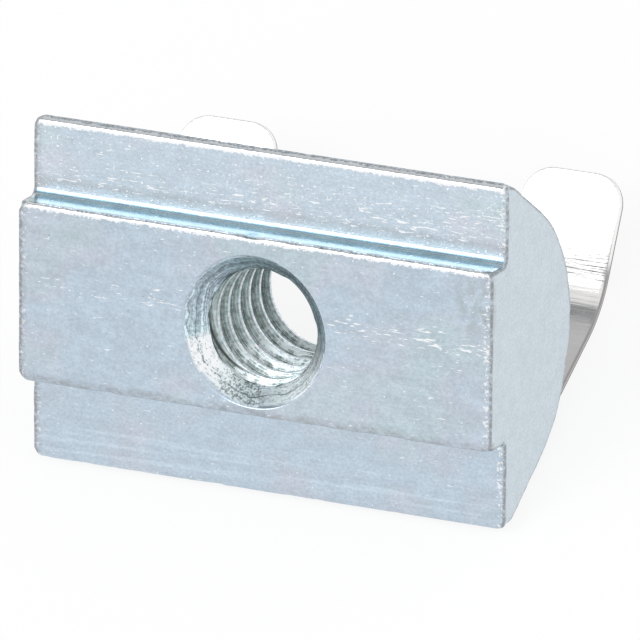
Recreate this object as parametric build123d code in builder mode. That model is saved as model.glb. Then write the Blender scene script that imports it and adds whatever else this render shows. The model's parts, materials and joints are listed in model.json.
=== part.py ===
from build123d import *

import os
from math import asin, atan2, cos, degrees, hypot, radians, sin, tan

# A T-slot nut that is rolled into its slot from above, with a folded leaf spring on its
# back. It lies as it comes to rest on a table: on the toe of the spring's strip and on
# the knees of its two tongues, with the guide rail and the threaded hole facing up and
# forwards.
#
# Both pieces are drawn in one cross-section. There w runs across the nut and t runs from
# the plane of the shoulders (t = 0) to the back; the rail stands out to negative t. The
# row frame has +X along the nut, +Y towards the tongues and +Z up, with its origin on the
# floor under the middle of the bounding box. Sizes are in millimetres, angles in degrees.

# Body: one length of drawn steel bar
nut_length = 22.2
nut_width = 15.2
crown_height = 6.5          # from the shoulders to the crown of the back
side_height = 0.42          # of the narrow side faces, from the shoulders to the flanks
back_radius = 6.65
rail_width = 7.9            # for an 8 mm slot
rail_height = 1.45
rail_offset = 0.2           # the drawn rail sits a little off the middle
rail_edge_radius = 0.35
root_radius = 0.55          # where the rail meets the shoulders
shoulder_edge_radius = 0.28
end_edge_radius = 0.25      # tumbled edges round both cut ends

# Threaded hole, at its core diameter for M6, countersunk at both mouths
core_diameter = 5.0
mouth_diameter = 6.6
rear_mouth_diameter = 7.0
countersink_angle = 90

# Leaf spring: a strip on the lower flank and two tongues, folded from one sheet
sheet = 0.3
leaf_span = 21.05           # over both tongues, along the nut
leaf_offset = 0.1           # the spring is welded a little off the middle, towards -X
tongue_width = 4.7
tongue_tip_radius = 1.4
crotch_radius = 1.2         # in the two corners between the strip and the tongues
toe_inset = 0.5             # from the foot of the flank to the strip's lower edge
seat_width = 2.4            # of the strip, flat on the flank
strip_width = 3.4           # from the strip's lower edge to the gap between the tongues
strip_corner_radius = 0.6
kick_angle = 2.0            # the tongues leave the flank's plane by this much
shank_length = 8.1          # straight run from the seat to the knee
knee_radius = 5.0           # at the sheet's outer side
tongue_angle = 26.2         # between the tongues' ends and the shoulders
tip_length = 4.42           # straight run from the knee to the tip
weld_diameter = 1.6         # shallow marks of the two spot welds that hold the strip
weld_depth = 0.06
weld_spacing = 12.0

same = 1e-4                 # two lengths this close count as equal


def step(start, angle, distance):
    """The point of the section at a distance from start, at an angle to the w axis."""
    return (
        start[0] + distance * cos(radians(angle)),
        start[1] + distance * sin(radians(angle)),
    )


# The flank that carries the spring is tangent to the round back. Its angle is the one
# between it and the shoulders.
half_width = nut_width / 2
flank_foot = (-half_width, side_height)
back_centre = (0, crown_height - back_radius)
sight = (half_width, back_centre[1] - side_height)
flank_angle = degrees(atan2(sight[1], sight[0]) + asin(back_radius / hypot(*sight)))
flank_top = step(back_centre, flank_angle + 90, back_radius)

# The spring's outer side, from its toe to its tip
shank_angle = flank_angle + kick_angle
toe_seat = step(flank_foot, flank_angle, toe_inset)
toe = step(toe_seat, flank_angle + 90, sheet)
kick = step(toe, flank_angle, seat_width)
knee_start = step(kick, shank_angle, shank_length)
knee_centre = step(knee_start, shank_angle - 90, knee_radius)
knee_end = step(knee_centre, tongue_angle + 90, knee_radius)
tip = step(knee_end, tongue_angle, tip_length)
tip_inner = step(tip, tongue_angle - 90, sheet)

# At rest the floor is the line from the toe that is tangent to the knee
reach = (knee_centre[0] - toe[0], knee_centre[1] - toe[1])
floor_angle = degrees(atan2(reach[1], reach[0]) + asin(knee_radius / hypot(*reach)))


def depth(point):
    """How far a section point lies towards +Y, from the middle of the shoulders."""
    return point[0] * cos(radians(floor_angle)) + point[1] * sin(radians(floor_angle))


def height(point):
    """How far a section point lies above the middle of the shoulders, along +Z."""
    return point[0] * sin(radians(floor_angle)) - point[1] * cos(radians(floor_angle))


# The two fillets of a side share its height, and the end fillets run round them
side_room = side_height / (1 + tan(radians(90 - flank_angle) / 2))
side_edge_radius = min(shoulder_edge_radius, side_room)
end_radius = min(end_edge_radius, side_edge_radius, rail_edge_radius)

edge_centre = (-half_width + side_edge_radius, side_edge_radius)
front = depth(edge_centre) - side_edge_radius
rear = max(depth(tip), depth(tip_inner))


def place(point):
    """The point of the row frame for a section point, half way along the nut."""
    return (0, depth(point) - (front + rear) / 2, height(point) - height(toe))


def direction(angle):
    """The direction in the row frame of a line at an angle to the section's w axis."""
    return Vector(*place(step((0, 0), angle, 1))) - Vector(*place((0, 0)))


def sheet_plane(point, angle):
    """A plane on the sheet's outer side, amid its span: y runs up the sheet, z into it."""
    middle = Vector(*place(point)) - Vector(leaf_offset, 0, 0)
    inwards = Vector(1, 0, 0).cross(direction(angle))
    return Plane(origin=middle, x_dir=(1, 0, 0), z_dir=inwards)


section_plane = Plane(origin=place((0, 0)), x_dir=direction(0), z_dir=(-1, 0, 0))
leaf_section_plane = section_plane.offset(leaf_offset)
rail_plane = Plane(
    origin=place((0, -rail_height)), x_dir=(1, 0, 0), z_dir=direction(-90)
)
crown_plane = Plane(
    origin=place((0, crown_height)), x_dir=(1, 0, 0), z_dir=direction(90)
)


with BuildPart() as nut_body:
    rail_low = rail_offset - rail_width / 2
    rail_high = rail_offset + rail_width / 2
    other_flank_top = (-flank_top[0], flank_top[1])
    other_flank_foot = (-flank_foot[0], flank_foot[1])
    with BuildSketch(section_plane) as bar_section:
        with BuildLine():
            ThreePointArc(flank_top, (0, crown_height), other_flank_top)
            Polyline(
                other_flank_top,
                other_flank_foot,
                (half_width, 0),
                (rail_high, 0),
                (rail_high, -rail_height),
                (rail_low, -rail_height),
                (rail_low, 0),
                (-half_width, 0),
                flank_foot,
                flank_top,
            )
        make_face()
        side_corners = bar_section.vertices().filter_by(
            lambda corner: abs(corner.X) > half_width - same
        )
        fillet(side_corners, radius=side_edge_radius)
        rail_corners = bar_section.vertices().filter_by(
            lambda corner: corner.Y < same - rail_height
        )
        fillet(rail_corners, radius=rail_edge_radius)
        root_corners = bar_section.vertices().filter_by(
            lambda corner: abs(corner.Y) < same
            and rail_low - same < corner.X < rail_high + same
        )
        fillet(root_corners, radius=root_radius)
    extrude(amount=nut_length / 2, both=True)
    cut_ends = nut_body.faces().filter_by(Axis.X)
    fillet(cut_ends.edges(), radius=end_radius)
    with Locations(rail_plane):
        CounterSinkHole(
            radius=core_diameter / 2,
            counter_sink_radius=mouth_diameter / 2,
            counter_sink_angle=countersink_angle,
        )
    with Locations(crown_plane):
        CounterSinkHole(
            radius=core_diameter / 2,
            counter_sink_radius=rear_mouth_diameter / 2,
            depth=crown_height,
            counter_sink_angle=countersink_angle,
        )
nut_body.part.label = "nut_body"

with BuildPart() as leaf_spring:
    with BuildSketch(leaf_section_plane):
        with BuildLine():
            Line(toe, kick)
            Line(kick, knee_start)
            RadiusArc(knee_start, knee_end, knee_radius)
            Line(knee_end, tip)
            offset(amount=sheet, side=Side.RIGHT)
        make_face()
    extrude(amount=leaf_span / 2, both=True)
    # The gap between the tongues, with round corners where it ends at the strip
    gap_foot = step(toe, flank_angle, strip_width)
    with BuildSketch(sheet_plane(gap_foot, shank_angle)) as gap:
        with Locations((0, nut_width)):
            Rectangle(leaf_span - 2 * tongue_width, 2 * nut_width)
        fillet(gap.vertices().group_by(Axis.Y)[0], radius=crotch_radius)
    extrude(amount=nut_width, both=True, mode=Mode.SUBTRACT)
    # Round corners at the tongues' tips and at the strip's lower edge
    corner_edges = leaf_spring.edges().filter_by(
        lambda edge: edge.geom_type == GeomType.LINE and abs(edge.length - sheet) < same
    )
    fillet(corner_edges.group_by(Axis.Y)[-1], radius=tongue_tip_radius)
    fillet(corner_edges.group_by(Axis.Y)[0], radius=strip_corner_radius)
    # Weld marks: shallow round dimples along the middle of the strip's seat
    with BuildSketch(sheet_plane(step(toe, flank_angle, seat_width / 2), flank_angle)):
        with GridLocations(weld_spacing, 0, 2, 1):
            Circle(weld_diameter / 2)
    extrude(amount=weld_depth, mode=Mode.SUBTRACT)
leaf_spring.part.label = "leaf_spring"

os.makedirs("parts", exist_ok=True)
export_step(nut_body.part, "parts/nut_body.step")
export_step(leaf_spring.part, "parts/leaf_spring.step")
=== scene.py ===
"""Roll-in T-slot nut with its leaf spring: the drawn and plated body, the bright folded spring, and a plain studio."""

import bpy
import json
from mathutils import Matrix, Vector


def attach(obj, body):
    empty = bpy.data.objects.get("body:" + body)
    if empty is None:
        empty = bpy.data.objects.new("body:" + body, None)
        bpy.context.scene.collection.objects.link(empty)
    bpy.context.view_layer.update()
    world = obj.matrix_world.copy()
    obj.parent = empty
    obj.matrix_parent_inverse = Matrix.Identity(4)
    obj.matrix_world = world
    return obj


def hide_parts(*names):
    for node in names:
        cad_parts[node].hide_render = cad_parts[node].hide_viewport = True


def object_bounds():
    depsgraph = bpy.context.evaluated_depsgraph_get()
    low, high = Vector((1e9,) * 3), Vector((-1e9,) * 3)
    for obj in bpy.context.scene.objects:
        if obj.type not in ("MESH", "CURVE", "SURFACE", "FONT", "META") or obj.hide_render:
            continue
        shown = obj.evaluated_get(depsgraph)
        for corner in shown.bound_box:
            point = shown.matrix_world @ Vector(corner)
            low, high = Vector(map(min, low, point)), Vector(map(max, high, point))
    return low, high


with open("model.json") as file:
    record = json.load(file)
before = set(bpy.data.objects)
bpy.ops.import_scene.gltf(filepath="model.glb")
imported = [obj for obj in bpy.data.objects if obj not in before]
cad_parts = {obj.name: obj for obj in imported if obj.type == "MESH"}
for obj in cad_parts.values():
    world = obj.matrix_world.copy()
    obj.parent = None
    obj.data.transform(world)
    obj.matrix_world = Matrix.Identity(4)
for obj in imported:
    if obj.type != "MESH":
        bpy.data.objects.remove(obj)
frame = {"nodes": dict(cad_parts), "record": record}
cad_box = [list(map(float, corner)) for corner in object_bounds()]

import functools
import json
import math

import bmesh
import bpy
import numpy as np
from bpy.props import FloatProperty, FloatVectorProperty, PointerProperty
from mathutils import Matrix, Vector

bl_info = {
    "name": "T-slot nut",
    "version": (1, 0, 0),
    "blender": (4, 5, 0),
    "location": "3D View > Sidebar > T-slot nut",
    "description": "Builds a roll-in T-slot nut with its leaf spring, and a plain studio",
    "category": "Add Mesh",
}

MM = 0.001
BODY = "root"

# The nut's own axes, in the row frame. A point is given as (x, w, t), in millimetres: x along the nut, w up across its
# face, and t from the shoulders' plane to the back.
mounts = {mount["name"]: mount for mount in frame["record"]["mounts"]}
ALONG = np.array((1.0, 0.0, 0.0))
FRONT = np.array(mounts["screw_thread"]["axis"], float)
FRONT /= np.linalg.norm(FRONT)
FACE_UP = np.cross(FRONT, ALONG)
_thread = np.array(mounts["screw_thread"]["pos_m"], float)
_shoulder = np.array(mounts["shoulder_upper"]["pos_m"], float)
ORIGIN = _thread + FRONT * np.dot(_shoulder - _thread, FRONT)
NUT_AXES = np.array((ALONG, FACE_UP, -FRONT))
TILT = math.atan2(FACE_UP[2], FACE_UP[1])


def to_row(points):
    """Row-frame places in metres of (x, w, t) points: origin + x along + w up the face + t to the back."""
    return ORIGIN + MM * points @ NUT_AXES


def to_nut(points):
    """The (x, w, t) points of row-frame places in metres."""
    return (points - ORIGIN) @ NUT_AXES.T / MM


def node_points(name):
    """The (x, w, t) points of a CAD node's mesh."""
    mesh = frame["nodes"][name].data
    flat = np.empty(len(mesh.vertices) * 3)
    mesh.vertices.foreach_get("co", flat)
    return to_nut(flat.reshape(-1, 3))


_nut = node_points("nut_body")
_low, _high = _nut.min(0), _nut.max(0)
_rail = _nut[_nut[:, 2] < _low[2] / 2]
_leaf = node_points("leaf_spring")


def size(name, about, default, low=0.0, unit="mm"):
    """A size property, in millimetres or the given unit."""
    return FloatProperty(name=name, description=f"{about}, {unit}", default=float(default), min=low, precision=3)


class NutSizes(bpy.types.PropertyGroup):
    """Sizes of the nut's body, in millimetres."""

    length: size("Length", "Length of the body", _high[0] - _low[0], 8)
    width: size("Width", "Width across the shoulders", _high[1] - _low[1], 10)
    crown: size("Crown height", "From the shoulders to the crown of the back", _high[2], 4)
    side: size("Side height", "Height of the narrow side faces", 0.42, 0.1)
    back_radius: size("Back radius", "Radius of the round back", 6.65, 4)
    rail_low: size("Rail lower wall", "Place of the rail's lower wall up the face", _rail[:, 1].min(), -6)
    rail_high: size("Rail upper wall", "Place of the rail's upper wall up the face", _rail[:, 1].max() + 0.035, 2)
    rail_height: size("Rail height", "Height of the rail above the shoulders", -_low[2], 0.5)
    rail_edge: size("Rail edge radius", "Radius of the rail's long edges", 0.16, 0.05)
    root: size("Root radius", "Radius between the rail and the shoulders", 0.32, 0.1)
    shoulder_edge: size("Shoulder edge radius", "Radius of the shoulders' outer edges", 0.16, 0.05)
    side_edge: size("Side edge radius", "Radius between the sides and the flanks", 0.28, 0.05)
    end_setback: size("End rounding, across", "How far the ends' edges are rounded inwards", 0.1, 0.02)
    end_depth: size("End rounding, along", "How far the ends' edges are rounded along the nut", 0.24, 0.05)
    tumble: size("Tumbling", "Rounding of the corners where a long edge meets an end", 0.2, 0.01)
    chip_depth: size("Chip depth", "Depth of the small chips along the long edges", 0.05)


class ThreadSizes(bpy.types.PropertyGroup):
    """Sizes of the threaded hole, in millimetres."""

    pitch: size("Pitch", "Pitch of the thread", 1.0, 0.3)
    core: size("Core radius", "Radius at the thread's crests", mounts["screw_thread"]["dims"]["r_mm"], 1)
    root: size("Root radius", "Radius at the bottom of the thread's groove", 3.0, 1)
    crest: size("Crest width", "Width of the flat crests", 0.13, 0.02)
    phase: size("Start", "Place of the first crest behind the shoulders' plane", 0.9, -2)
    start: size("Run-in", "Where the grooves start, from the shoulders' plane to the back", -0.72, -3)
    mouth: size("Front countersink radius", "Radius of the countersink at the rail", 3.38, 2)
    rear_mouth: size("Rear countersink radius", "Radius of the countersink at the crown", 3.5, 2)
    rim: size("Rim rounding", "Rounding of the countersinks' rims", 0.09, 0.01)


class SpringSizes(bpy.types.PropertyGroup):
    """Sizes of the leaf spring, in millimetres and degrees."""

    sheet: size("Sheet", "Thickness of the sheet", 0.3, 0.1)
    low: size("Lower end", "Place of the spring's end towards -X", _leaf[:, 0].min(), -20)
    high: size("Upper end", "Place of the spring's end towards +X", _leaf[:, 0].max(), 5)
    tongue: size("Tongue width", "Width of each tongue", 4.7, 2)
    tip_radius: size("Tip radius", "Radius of the tongues' corners", 1.4, 0.2)
    crotch: size("Crotch radius", "Radius between the strip and the tongues", 1.2, 0.2)
    corner: size("Strip corner radius", "Radius of the strip's lower corners", 0.6, 0.1)
    toe_inset: size("Toe inset", "From the foot of the flank to the strip's edge", 0.5)
    seat: size("Seat width", "Width of the strip on the flank", 2.4, 1)
    strip: size("Strip width", "From the strip's edge to the gap", 3.4, 2)
    shank: size("Shank length", "Straight run from the seat to the knee", 8.1, 1)
    knee: size("Knee radius", "Radius of the knee's outer side", 5.0, 1)
    tip: size("Tip length", "Straight run from the knee to the tip", 4.42, 1)
    kick: size("Kick", "Bend where the tongues leave the flank", 2.0, unit="degrees")
    slope: size("Tongue slope", "Angle between the tongues' ends and the shoulders", 26.2, unit="degrees")
    edge: size("Edge rounding", "Rounding of the sheet's cut edges", 0.07, 0.01)
    weld: size("Weld radius", "Radius of the two weld marks", 0.8, 0.2)
    weld_depth: size("Weld depth", "Depth of the two weld marks", 0.05)
    weld_spacing: size("Weld spacing", "Distance between the weld marks", 12.0, 2)


def colour(name, about, default):
    """A colour property without alpha."""
    return FloatVectorProperty(name=name, description=about, default=default, size=3, subtype="COLOR", min=0, max=1)


class Finishes(bpy.types.PropertyGroup):
    """Colours and gloss of the two finishes."""

    zinc: colour("Zinc", "Blue-white plating", (0.51, 0.605, 0.692))
    zinc_lilac: colour("Zinc, warm patches", "Faintly lilac patches of the plating", (0.54, 0.595, 0.677))
    zinc_green: colour("Zinc, green patches", "Faintly green patches of the plating", (0.515, 0.612, 0.668))
    zinc_end: colour("Zinc, cut ends", "Plating on the cut ends", (0.608, 0.683, 0.742))
    # The rail wall's deeper blue is painted shade and reflection, and the root's near-white is a painted highlight.
    wall_shade_blue: colour("Zinc, rail wall", "Deeper blue plating on the rail's upper wall", (0.41, 0.54, 0.59))
    root_highlight: colour("Zinc, root", "Bright plating in the corner above the rail", (0.86, 1.0, 1.0))
    countersink: colour("Countersink", "Plating on the turned countersinks", (0.54, 0.69, 0.76))
    # The lighter and deeper countersink colours are painted reflections, set by the way the cone faces.
    countersink_light_reflection: colour("Countersink, lighter", "Lighter cyan part of the countersink", (0.87, 0.97, 1.0))
    countersink_dark_reflection: colour("Countersink, deeper", "Deeper blue-grey part of the countersink", (0.47, 0.56, 0.63))
    smudge: colour("Smudge", "Greenish smudge near the rail's end", (0.36, 0.39, 0.35))
    # The dull grey also paints shade: on the narrow upper side, under the rail's upper edge and round the ends.
    zinc_dull_and_shade: colour("Zinc, dull specks", "Grey specks and rubbed places", (0.26, 0.27, 0.28))
    # The bright colour paints glints of the plating and highlights along the edges, partly wear, and highlights in the
    # hole.
    zinc_highlight_and_wear: colour("Zinc, bright specks", "Bright scratches and worn edges", (0.97, 0.98, 1.0))
    # The dark thread colour is painted shade inside the hole.
    thread_shade: colour("Thread", "Plating inside the thread", (0.22, 0.27, 0.27))
    soot: colour("Rail stain", "Brownish stain along the rail's lower edge", (0.22, 0.19, 0.17))
    steel: colour("Spring", "Bright stainless sheet", (0.80, 0.79, 0.78))
    # The greyer band is a painted reflection on the tongues.
    steel_reflection_grey: colour("Spring, haze", "Greyer rolled band on the tongues", (0.37, 0.36, 0.355))
    steel_sheared: colour("Spring, sheared edge", "Bright part of the sheared edges", (0.97, 0.97, 0.96))
    # The dark cut-edge colour is a painted shade line along the sheet's edges.
    steel_edge_shade: colour("Spring, cut edge", "Dull burnished part of the sheared edges", (0.22, 0.21, 0.21))
    zinc_gloss: FloatProperty(name="Plating roughness", description="Roughness of the plating", default=0.24,
                              min=0.05, max=1, subtype="FACTOR")
    steel_gloss: FloatProperty(name="Spring roughness", description="Roughness of the spring sheet", default=0.19,
                               min=0.02, max=1, subtype="FACTOR")


class StudioSettings(bpy.types.PropertyGroup):
    """The floor, the lamps and the camera."""

    floor_size: FloatProperty(name="Floor", description="Side of the floor", default=3.0, subtype="DISTANCE")
    floor: colour("Floor", "Pale floor", (0.95, 0.95, 0.95))
    softbox: FloatProperty(name="Softbox", description="Power of the softbox over the face", default=0.85,
                           subtype="POWER")
    azimuth: FloatProperty(name="Azimuth", description="Direction to the camera, from the front to the right",
                           default=math.radians(36.028), subtype="ANGLE")
    elevation: FloatProperty(name="Elevation", description="Height of the camera's direction",
                             default=math.radians(45.774), subtype="ANGLE")
    lean: FloatProperty(name="Lean", description="How far the camera leans to its right",
                        default=math.radians(18.72), subtype="ANGLE")
    distance: FloatProperty(name="Distance", description="From the camera to its target", default=0.70492,
                            subtype="DISTANCE")
    lens: FloatProperty(name="Lens", description="Focal length, mm", default=939.1)
    target: FloatVectorProperty(name="Target", description="Point that the camera looks at, (x, w, t) in mm",
                                default=(1.94, 0.11, 1.02), size=3)


# ---------------------------------------------------------------- geometry helpers

LATTICE = 64          # cells along each side of the noise's lattice, before it repeats
MERGED = 1e-6         # points nearer than this are one, m
SLIVER = 1e-7         # faces thinner than this go, m


def value_noise(points, cell, seed):
    """Smooth noise from -1 to 1: random values at the corners of a lattice with that cell, in millimetres, blended
    between corners with the weight u * u * (3 - 2 u) along each axis."""
    points = np.atleast_2d(points) / cell
    dims = points.shape[1]
    lattice = np.random.default_rng(seed).uniform(-1, 1, (LATTICE,) * dims)
    base = np.floor(points).astype(int)
    part = points - base
    weight = part * part * (3 - 2 * part)
    total = np.zeros(len(points))
    for corner in np.ndindex(*(2,) * dims):
        offset = np.array(corner)
        share = np.prod(np.where(offset, weight, 1 - weight), axis=1)
        total += share * lattice[tuple(((base + offset) % LATTICE).T)]
    return total


def smooth(value, low, high):
    """Rises smoothly from 0 at low to 1 at high."""
    u = np.clip((value - low) / (high - low), 0, 1)
    return u * u * (3 - 2 * u)


def grid_faces(index, wrap=False):
    """Quads between neighbouring rows and columns of a table of vertex numbers."""
    if wrap:
        index = np.concatenate([index, index[:, :1]], axis=1)
    return np.stack([index[:-1, :-1], index[:-1, 1:], index[1:, 1:], index[1:, :-1]], axis=-1).reshape(-1, 4)


class Shell:
    """Collects the grids of one piece: points as (x, w, t) rows and faces as vertex numbers."""

    def __init__(self):
        self.points, self.faces, self.marks, self.count = [], [], [], 0

    def grid(self, points, keep=None, wrap=False, mark=0.0):
        """Adds a grid of points, shaped (rows, columns, 3), and its quads; keep marks the quads to make, shaped
        (rows - 1, columns - 1). mark is a number for each row."""
        rows, columns = points.shape[:2]
        index = self.count + np.arange(rows * columns).reshape(rows, columns)
        self.points.append(points.reshape(-1, 3))
        self.marks.append(np.repeat(np.broadcast_to(mark, rows), columns))
        self.count += rows * columns
        quads = grid_faces(index, wrap)
        self.faces.append(quads if keep is None else quads[keep.ravel()])

    def piece(self, name, adjust=None, sharp=30.0):
        """Makes the object: points that coincide are merged, faces turned outwards, and edges over the sharp angle in
        degrees kept crisp. The marks become the attribute "mark". adjust(points, mesh) returns the worn points."""
        points = np.concatenate(self.points)
        faces = np.concatenate(self.faces)
        mesh = bpy.data.meshes.new(name)
        mesh.from_pydata(to_row(points).tolist(), [], faces.tolist())
        set_attribute(mesh, "mark", np.concatenate(self.marks))
        work = bmesh.new()
        work.from_mesh(mesh)
        bmesh.ops.remove_doubles(work, verts=work.verts, dist=MERGED)
        bmesh.ops.dissolve_degenerate(work, dist=SLIVER, edges=work.edges)
        loose = [vertex for vertex in work.verts if not vertex.link_faces]
        bmesh.ops.delete(work, geom=loose, context="VERTS")
        bmesh.ops.recalc_face_normals(work, faces=work.faces)
        if work.calc_volume(signed=True) < 0:
            bmesh.ops.reverse_faces(work, faces=work.faces)
        open_edges = sum(1 for edge in work.edges if len(edge.link_faces) != 2)
        work.to_mesh(mesh)
        work.free()
        if open_edges:
            raise RuntimeError(f"{name} isn't closed: {open_edges} open edges")
        if adjust:
            flat = np.empty(len(mesh.vertices) * 3)
            mesh.vertices.foreach_get("co", flat)
            worn = adjust(to_nut(flat.reshape(-1, 3)), mesh)
            mesh.vertices.foreach_set("co", to_row(worn).ravel())
        mesh.shade_smooth()
        mesh.set_sharp_from_angle(angle=math.radians(sharp))
        mesh.update()
        mesh.validate()
        piece = bpy.data.objects.new(name, mesh)
        bpy.context.collection.objects.link(piece)
        return piece


def set_attribute(mesh, name, values):
    """Stores one number per vertex."""
    layer = mesh.attributes.new(name, "FLOAT", "POINT")
    layer.data.foreach_set("value", np.asarray(values, np.float32))


# ---------------------------------------------------------------- the nut's body

CELL = 0.2            # mesh spacing, mm
PATCH_CELLS = 36      # cells along each side of the square patch round a mouth of the hole
PATCH_ROWS = 9        # rows of points from the patch's rim to the mouth
PATCH_HALF = 3.6      # half the patch's width up the face, mm
PATCH_REACH = 3.7     # half the patch's length along the nut, mm
RUN_IN = 0.3          # way over which the grooves reach their depth, mm
RUN_OUT = 1.5         # how steeply the grooves run out before the rear rim
SETTLED = 30          # rounds after which the rear mouth's radius has settled
RAIL_FACE, CROWN = 0, 5                 # corners of the outline: before the rail's face, and over the crown
SECTION_HEART = np.array((0.0, 2.0))    # (w, t) of a point that sees the whole section
END_STEPS = 7         # rows of points on the rounding of an end
# how an end shrinks to its heart, row by row
END_ROWS = (1.0, 0.992, 0.982, 0.965, 0.945, 0.92, 0.86, 0.78, 0.68, 0.57, 0.45, 0.32, 0.18, 0.07, 0.0)
ENDS_APART = 5.0      # half the way between the places where the two ends take their noise, mm

# wear of the body, in mm
FAR = 9.0                               # stands for a distance that isn't worked out
LONGEST = 2.0                           # longest distance that is stored
DISTANCE_PARTS = 40                     # parts that the distances are worked out in
SKIN = 0.03                             # depth of the back's skin, which isn't part of the hole
BOX_EASE = 0.05                         # see ease_into_box
LIP_LEFT, LIP_RIGHT = 0.34, 0.13        # width of the painted shade line round each end
END_CHIPS, END_WAVES = 0.05, 0.016      # depth of the chips round the ends, and of the ends' unevenness
DENT_X, DENT_DEPTH = -0.2, 0.08         # the dent in the rail's upper edge
NICK_W, NICK_DEPTH = -2.0, 0.13         # the nick where the back meets the right end


def unit(vector):
    """The vector at a length of 1."""
    return vector / np.linalg.norm(vector)


def corner_arc(before, corner, after, radius, breaks=None):
    """The arc of that radius that touches both sides of a corner, as points, outward normals and shares of its length.
    It starts radius * tan(turn / 2) before the corner. breaks lists the arc lengths from its middle that a patch
    starts and ends at."""
    d_in, d_out = unit(corner - before), unit(after - corner)
    turn = math.atan2(d_in[0] * d_out[1] - d_in[1] * d_out[0], d_in @ d_out)
    start = corner - d_in * radius * math.tan(abs(turn) / 2)
    side = math.copysign(1.0, turn)
    centre = start + side * radius * np.array((-d_in[1], d_in[0]))
    if breaks is None:
        steps = max(6, math.ceil(radius * abs(turn) / CELL))
        share = np.linspace(0, 1, steps + 1)
    else:
        length = radius * abs(turn)
        stops = [0.0, *(0.5 + b / length for b in breaks), 1.0]
        parts = [np.linspace(a, b, n + 1)[:-1] for a, b, n in zip(
            stops, stops[1:], (math.ceil((stops[1] - stops[0]) * length / CELL), PATCH_CELLS,
                               math.ceil((stops[3] - stops[2]) * length / CELL)))]
        share = np.concatenate([*parts, [1.0]])
    angle = math.atan2(d_in[1], d_in[0]) - math.pi / 2 + share * turn
    normal = np.stack([np.cos(angle), np.sin(angle)], axis=1)
    return centre + side * radius * normal, normal, share


def flank_slope(nut):
    """Angle between the flanks and the shoulders, in radians. A flank runs from the top of the narrow side and touches
    the round back, so it is the direction from there to the back's centre plus asin(radius / distance)."""
    half, rise = nut.width / 2, nut.crown - nut.back_radius - nut.side
    return math.atan2(rise, half) + math.asin(nut.back_radius / math.hypot(rise, half))


def section_outline(nut):
    """The nut's outline, counter-clockwise in (w, t): a polygon whose corners are replaced by arcs that touch both
    sides. The back is the arc of the corner where the two flanks would meet, so the flanks are tangent to it.
    Returns points, outward normals, where the patches on the rail and the crown start, and the corners."""
    half, slope = nut.width / 2, flank_slope(nut)
    apex = nut.side + half * math.tan(slope)
    corners = np.array([
        (nut.rail_low, -nut.rail_height), (nut.rail_high, -nut.rail_height), (nut.rail_high, 0), (half, 0),
        (half, nut.side), (0, apex), (-half, nut.side), (-half, 0), (nut.rail_low, 0)])
    room = nut.side / (1 + math.tan((math.pi / 2 - slope) / 2))
    shoulder, side = min(nut.shoulder_edge, room), min(nut.side_edge, room)
    radii = [nut.rail_edge, nut.rail_edge, nut.root, shoulder, side, nut.back_radius, side, shoulder, nut.root]
    arcs = []
    for number, radius in enumerate(radii):
        breaks = (-PATCH_HALF, PATCH_HALF) if number == CROWN else None
        arcs.append(corner_arc(*corners[[number - 1, number, (number + 1) % len(corners)]], radius, breaks))
    points, normals, marks, count = [], [], {}, 0
    for number, (arc, normal, share) in enumerate(arcs):
        if number == CROWN:
            patch_start = 0.5 - PATCH_HALF / (nut.back_radius * 2 * slope)
            marks["crown"] = count + int(np.argmin(abs(share - patch_start)))
        points.append(arc)
        normals.append(normal)
        count += len(arc)
        if number == RAIL_FACE:
            marks["rail"] = count - 1
        start, end = arc[-1], arcs[(number + 1) % len(arcs)][0][0]
        cells = PATCH_CELLS if number == RAIL_FACE else max(1, math.ceil(np.linalg.norm(end - start) / CELL))
        share = np.linspace(0, 1, cells + 1)[1:-1, None]
        points.append(start + (end - start) * share)
        normals.append(np.repeat(normal[-1:], cells - 1, axis=0))
        count += cells - 1
    return np.concatenate(points), np.concatenate(normals), marks, corners


def crown_surface(nut, w):
    """Depth t of the round back at w: its centre plus the root of R squared less w squared."""
    return nut.crown - nut.back_radius + np.sqrt(np.maximum(nut.back_radius ** 2 - w * w, 0))


def square_loop(middle_of):
    """The rim of a square patch, counter-clockwise from its upper right corner, as (x, w): equal cells on each side.
    middle_of(s) gives w for a share s from -1 to 1."""
    s = np.linspace(1, -1, PATCH_CELLS + 1)[:-1]
    top, left = middle_of(np.ones(PATCH_CELLS)), middle_of(s)
    x = np.concatenate([s * PATCH_REACH, np.full(PATCH_CELLS, -PATCH_REACH), -s * PATCH_REACH,
                        np.full(PATCH_CELLS, PATCH_REACH)])
    w = np.concatenate([top, left, middle_of(-np.ones(PATCH_CELLS)), middle_of(-s)])
    return x, w


def thread_radius(thread, t, turn):
    """Radius of the threaded wall: crests of constant radius, and grooves with flanks at 60 degrees to each other.
    The crests lie on a right-handed helix, t = phase - pitch * turn for a turn counted from x towards w. The grooves
    deepen from nothing over the run-in."""
    u = (t - thread.phase) / thread.pitch + turn
    away = abs(u - np.round(u)) * thread.pitch
    depth = (away - thread.crest / 2) / math.tan(math.radians(30))
    return thread.core + np.clip(depth, 0, thread.root - thread.core) * smooth(t, thread.start, thread.start + RUN_IN)


def mouth_rim(outer, sharp, inner, steps=4):
    """Rows of a small rounding: the curve (1-u)^2 outer + 2u(1-u) sharp + u^2 inner."""
    u = np.linspace(0, 1, steps + 1)[:, None, None]
    return (1 - u) ** 2 * outer + 2 * u * (1 - u) * sharp + u ** 2 * inner


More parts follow.
